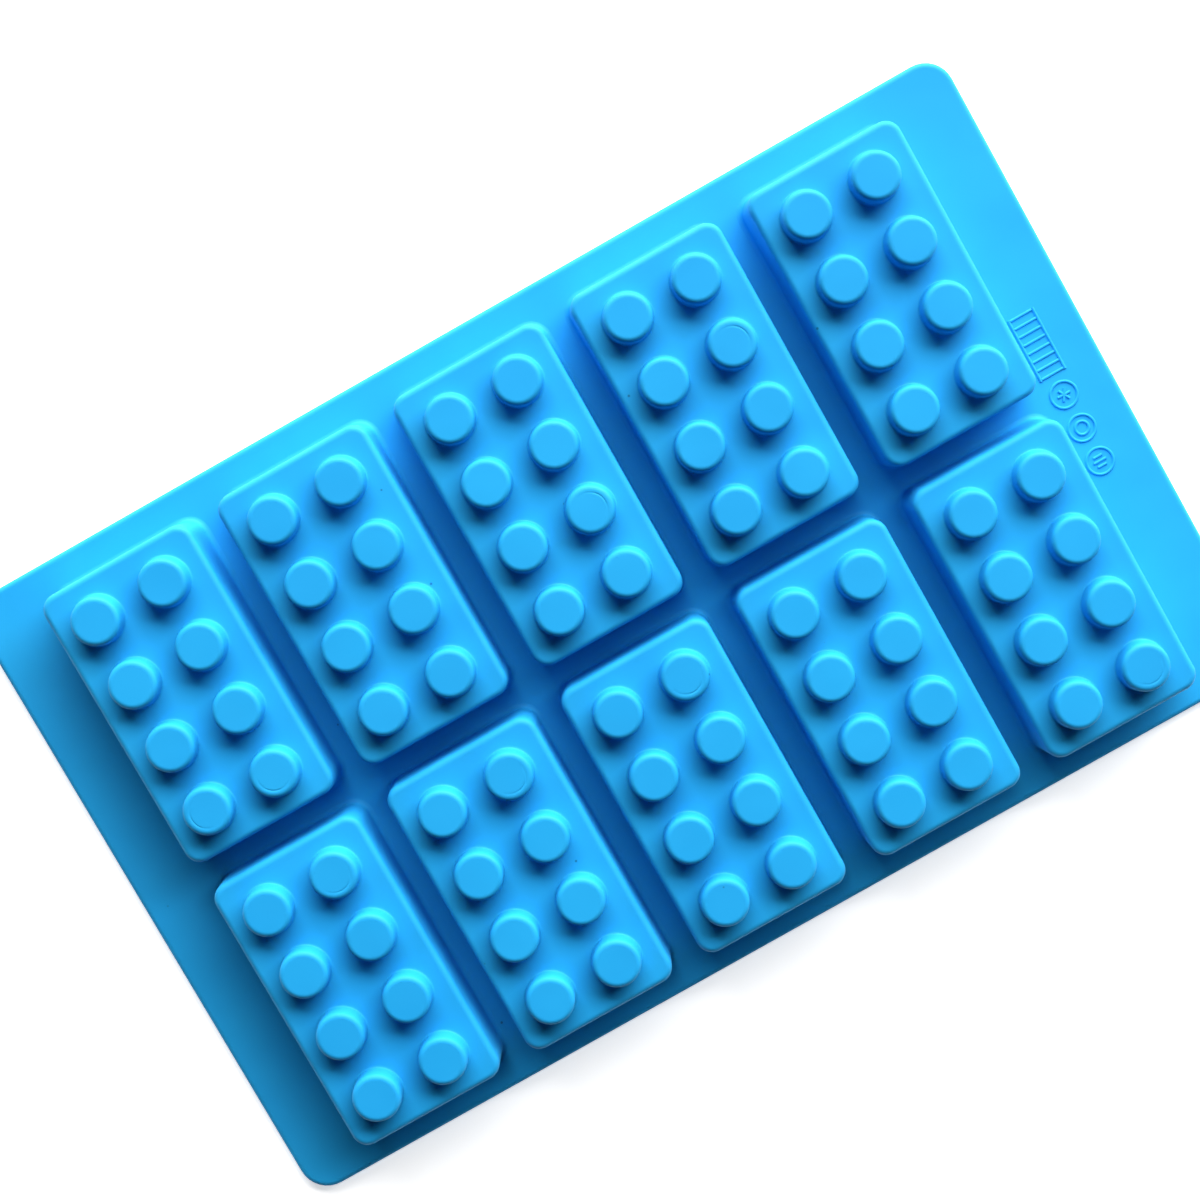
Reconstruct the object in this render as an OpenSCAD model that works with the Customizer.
// Silicone soap mould with ten cups shaped like building bricks, lying on its open face.
// X runs along the long side, Y along the short side, and the cups point up along Z.
// The origin is the middle of the sheet's open face. All sizes are in millimetres.

/* [Sheet] */
// Number of columns of cups along the long side
columns = 5; // [2:1:7]
// Thickness of the sheet that joins the cups
sheet_t = 1.8; // [1.2:0.1:3]
// Radius of the sheet's four corners
sheet_corner_r = 5; // [2:0.5:10]
// Sheet left over beyond the end cups, along the long side
margin_x = 13.4; // [12:0.1:25]
// Sheet left over beyond the cups, along the short side
margin_y = 5.7; // [4:0.1:20]
// Gap between the cups of neighbouring columns, at the sheet
column_gap = 4.8; // [4:0.1:12]
// Gap between the two rows of cups, at the sheet
row_gap = 4.2; // [2:0.1:12]
// Width of the flexing web between two columns
web_w = 4; // [2:0.1:4.8]

/* [Cups] */
// Length of a cup along X at the sheet's open face
cup_x = 27.8; // [25:0.1:40]
// Length of a cup along Y at the sheet's open face
cup_y = 50.2; // [48:0.1:70]
// Height of a cup's flat top above the open face
cup_h = 13; // [9:0.1:30]
// Radius of a cup's upright corners at the open face
cup_corner_r = 2.9; // [2.4:0.1:5]
// How far each side of a cup leans in between the open face and the top
cup_lean = 0.2; // [0.1:0.05:0.8]
// Thickness of a cup's side walls
wall_t = 1.4; // [1:0.1:1.8]
// Thickness of a cup's closed end
floor_t = 1.6; // [1:0.1:3]
// Gap round the closed end, where it slides inside the walls
floor_gap = 0.3; // [0.2:0.05:0.5]

/* [Studs] */
// Stud diameter at its top
stud_d = 8; // [5:0.1:9.6]
// Height of a stud above the cup's top
stud_h = 3.4; // [2:0.1:6]
// How far a stud's side leans in over its height
stud_lean = 0.15; // [0:0.05:0.4]
// Thickness of a stud's side and top
stud_wall = 1.2; // [0.8:0.1:1.6]
// Spacing of the two studs along X
stud_pitch_x = 12.4; // [10:0.1:14]
// Spacing of the four studs along Y
stud_pitch_y = 11.75; // [10:0.05:12.2]

/* [Marks] */
// Height of the raised marks on the end margin
mark_h = 0.5; // [0.2:0.1:1]
// Distance from the sheet's end to the middle of the marks
mark_inset = 8.8; // [6:0.1:9]
// How far the marks, taken together, sit from the middle of the short side, towards -Y
mark_shift = 1.3; // [0:0.1:3]
// Outer diameter of a ring mark
ring_d = 5; // [3:0.1:6]
// Width of a ring's raised line
ring_line = 0.6; // [0.4:0.1:1]
// Spacing of the three ring marks
ring_pitch = 6.3; // [6:0.1:9]
// Width of the plain bar mark along X
bar_x = 5; // [3:0.1:6]
// Length of the plain bar mark along Y
bar_y = 11.5; // [6:0.1:16]
// Gap between the bar mark and the first ring
bar_gap = 1.2; // [0.6:0.1:4]

/* [Hidden] */
$fn = 64;
STUD_COLUMNS = 2;
STUD_ROWS = 4;
RINGS = 3;
ROW_NAMES = ["a", "b"];   // row a lies towards +Y, row b towards -Y
THROUGH = 1;              // how far a cut runs past the face it opens
sheet_colour = [0.17, 0.70, 0.98];
cup_colour = [0.20, 0.68, 0.97];
floor_colour = [0.14, 0.62, 0.93];
web_colour = [0.05, 0.45, 0.75];

column_pitch = cup_x + column_gap;
row_pitch = cup_y + row_gap;
sheet_x = columns * column_pitch - column_gap + 2 * margin_x;
sheet_y = len(ROW_NAMES) * row_pitch - row_gap + 2 * margin_y;
lean_per_mm = cup_lean / cup_h;
stud_r = stud_d / 2;
recess_r = stud_r - stud_wall;
cavity_x = cup_x - 2 * wall_t;
cavity_y = cup_y - 2 * wall_t;
cavity_corner_r = cup_corner_r - wall_t;
mark_x = sheet_x / 2 - mark_inset;
marks_y = bar_y + bar_gap + ring_d + (RINGS - 1) * ring_pitch;
bar_centre_y = marks_y / 2 - bar_y / 2 - mark_shift;
first_ring_y = bar_centre_y - bar_y / 2 - bar_gap - ring_d / 2;

ALL_COLUMNS = [0 : columns - 1];
ALL_WEBS = [0 : columns - 2];
ALL_ROWS = [0 : len(ROW_NAMES) - 1];
function column_x(i) = (i - (columns - 1) / 2) * column_pitch;
function web_x(i) = column_x(i) + column_pitch / 2;
function row_y(j) = ((len(ROW_NAMES) - 1) / 2 - j) * row_pitch;
function cup_name(what, i, j) = str(what, "_", ROW_NAMES[j], i + 1);

// A rectangle with round corners, centred on the origin.
module rounded_rect(x, y, r) {
    square([x - 2 * r, y], center = true);
    square([x, y - 2 * r], center = true);
    for (sx = [-1, 1], sy = [-1, 1]) translate([sx * (x / 2 - r), sy * (y / 2 - r)]) circle(r);
}

// A trapezium prism along Y: its width is wide at z0 and shrinks by the cup's lean up to z1.
module leaning_slab(wide, deep, z0, z1) {
    low = wide / 2 - lean_per_mm * z0;
    high = wide / 2 - lean_per_mm * z1;
    rotate([90, 0, 0]) translate([0, 0, -deep / 2]) linear_extrude(deep)
        polygon([[-low, z0], [low, z0], [high, z1], [-high, z1]]);
}

// A block with round corners whose sides lean in. x, y and r are its sizes at z = 0.
module leaning_block(x, y, r, z0, z1) {
    leaning_slab(x, y - 2 * r, z0, z1);
    rotate([0, 0, 90]) leaning_slab(y, x - 2 * r, z0, z1);
    for (sx = [-1, 1], sy = [-1, 1])
        translate([sx * (x / 2 - r), sy * (y / 2 - r), z0])
            cylinder(h = z1 - z0, r1 = r - lean_per_mm * z0, r2 = r - lean_per_mm * z1);
}

module at_cup(i, j) translate([column_x(i), row_y(j), 0]) children();

module at_studs()
    for (i = [0 : STUD_COLUMNS - 1], j = [0 : STUD_ROWS - 1])
        translate([(i - (STUD_COLUMNS - 1) / 2) * stud_pitch_x,
                   (j - (STUD_ROWS - 1) / 2) * stud_pitch_y, cup_h]) children();

// The space that the soap fills below a cup's closed end.
module cavity(z0, z1) leaning_block(cavity_x, cavity_y, cavity_corner_r, z0, z1);

// One column's share of the sheet, with the mouths of its two cups.
module flange_panel(i) {
    left = i == 0 ? -sheet_x / 2 : web_x(i - 1) + web_w / 2;
    right = i == columns - 1 ? sheet_x / 2 : web_x(i) - web_w / 2;
    color(sheet_colour) difference() {
        linear_extrude(sheet_t) intersection() {
            rounded_rect(sheet_x, sheet_y, sheet_corner_r);
            translate([left, -sheet_y / 2]) square([right - left, sheet_y]);
        }
        for (j = ALL_ROWS) at_cup(i, j) cavity(-THROUGH, sheet_t + THROUGH);
    }
}

// The strip of sheet between two columns, which bends when they fold.
module web(i)
    color(web_colour) translate([web_x(i) - web_w / 2, -sheet_y / 2, 0])
        cube([web_w, sheet_y, sheet_t]);

module cup_wall(i, j)
    color(cup_colour) at_cup(i, j) difference() {
        leaning_block(cup_x, cup_y, cup_corner_r, sheet_t, cup_h);
        cavity(sheet_t - THROUGH, cup_h + THROUGH);
    }

// The closed end, with a hole where each hollow stud stands on it.
module cup_floor(i, j)
    color(floor_colour) at_cup(i, j) difference() {
        leaning_block(cavity_x - 2 * floor_gap, cavity_y - 2 * floor_gap,
                      cavity_corner_r - floor_gap, cup_h - floor_t, cup_h);
        at_studs() translate([0, 0, -floor_t - THROUGH])
            cylinder(h = floor_t + 2 * THROUGH, r = recess_r);
    }

module cup_studs(i, j)
    color(cup_colour) at_cup(i, j) at_studs() difference() {
        cylinder(h = stud_h, r1 = stud_r + stud_lean, r2 = stud_r);
        translate([0, 0, -THROUGH]) cylinder(h = stud_h - stud_wall + THROUGH, r = recess_r);
    }

module mark_bar()
    color(cup_colour) translate([mark_x - bar_x / 2, bar_centre_y - bar_y / 2, sheet_t])
        cube([bar_x, bar_y, mark_h]);

module mark_rings()
    color(cup_colour) for (k = [0 : RINGS - 1])
        translate([mark_x, first_ring_y - k * ring_pitch, sheet_t]) difference() {
            cylinder(h = mark_h, d = ring_d);
            translate([0, 0, -THROUGH]) cylinder(h = mark_h + 2 * THROUGH, d = ring_d - 2 * ring_line);
        }

for (i = ALL_COLUMNS) flange_panel(i);
for (i = ALL_WEBS) web(i);
for (j = ALL_ROWS, i = ALL_COLUMNS) {
    cup_wall(i, j);
    cup_floor(i, j);
    cup_studs(i, j);
}
mark_bar();
mark_rings();
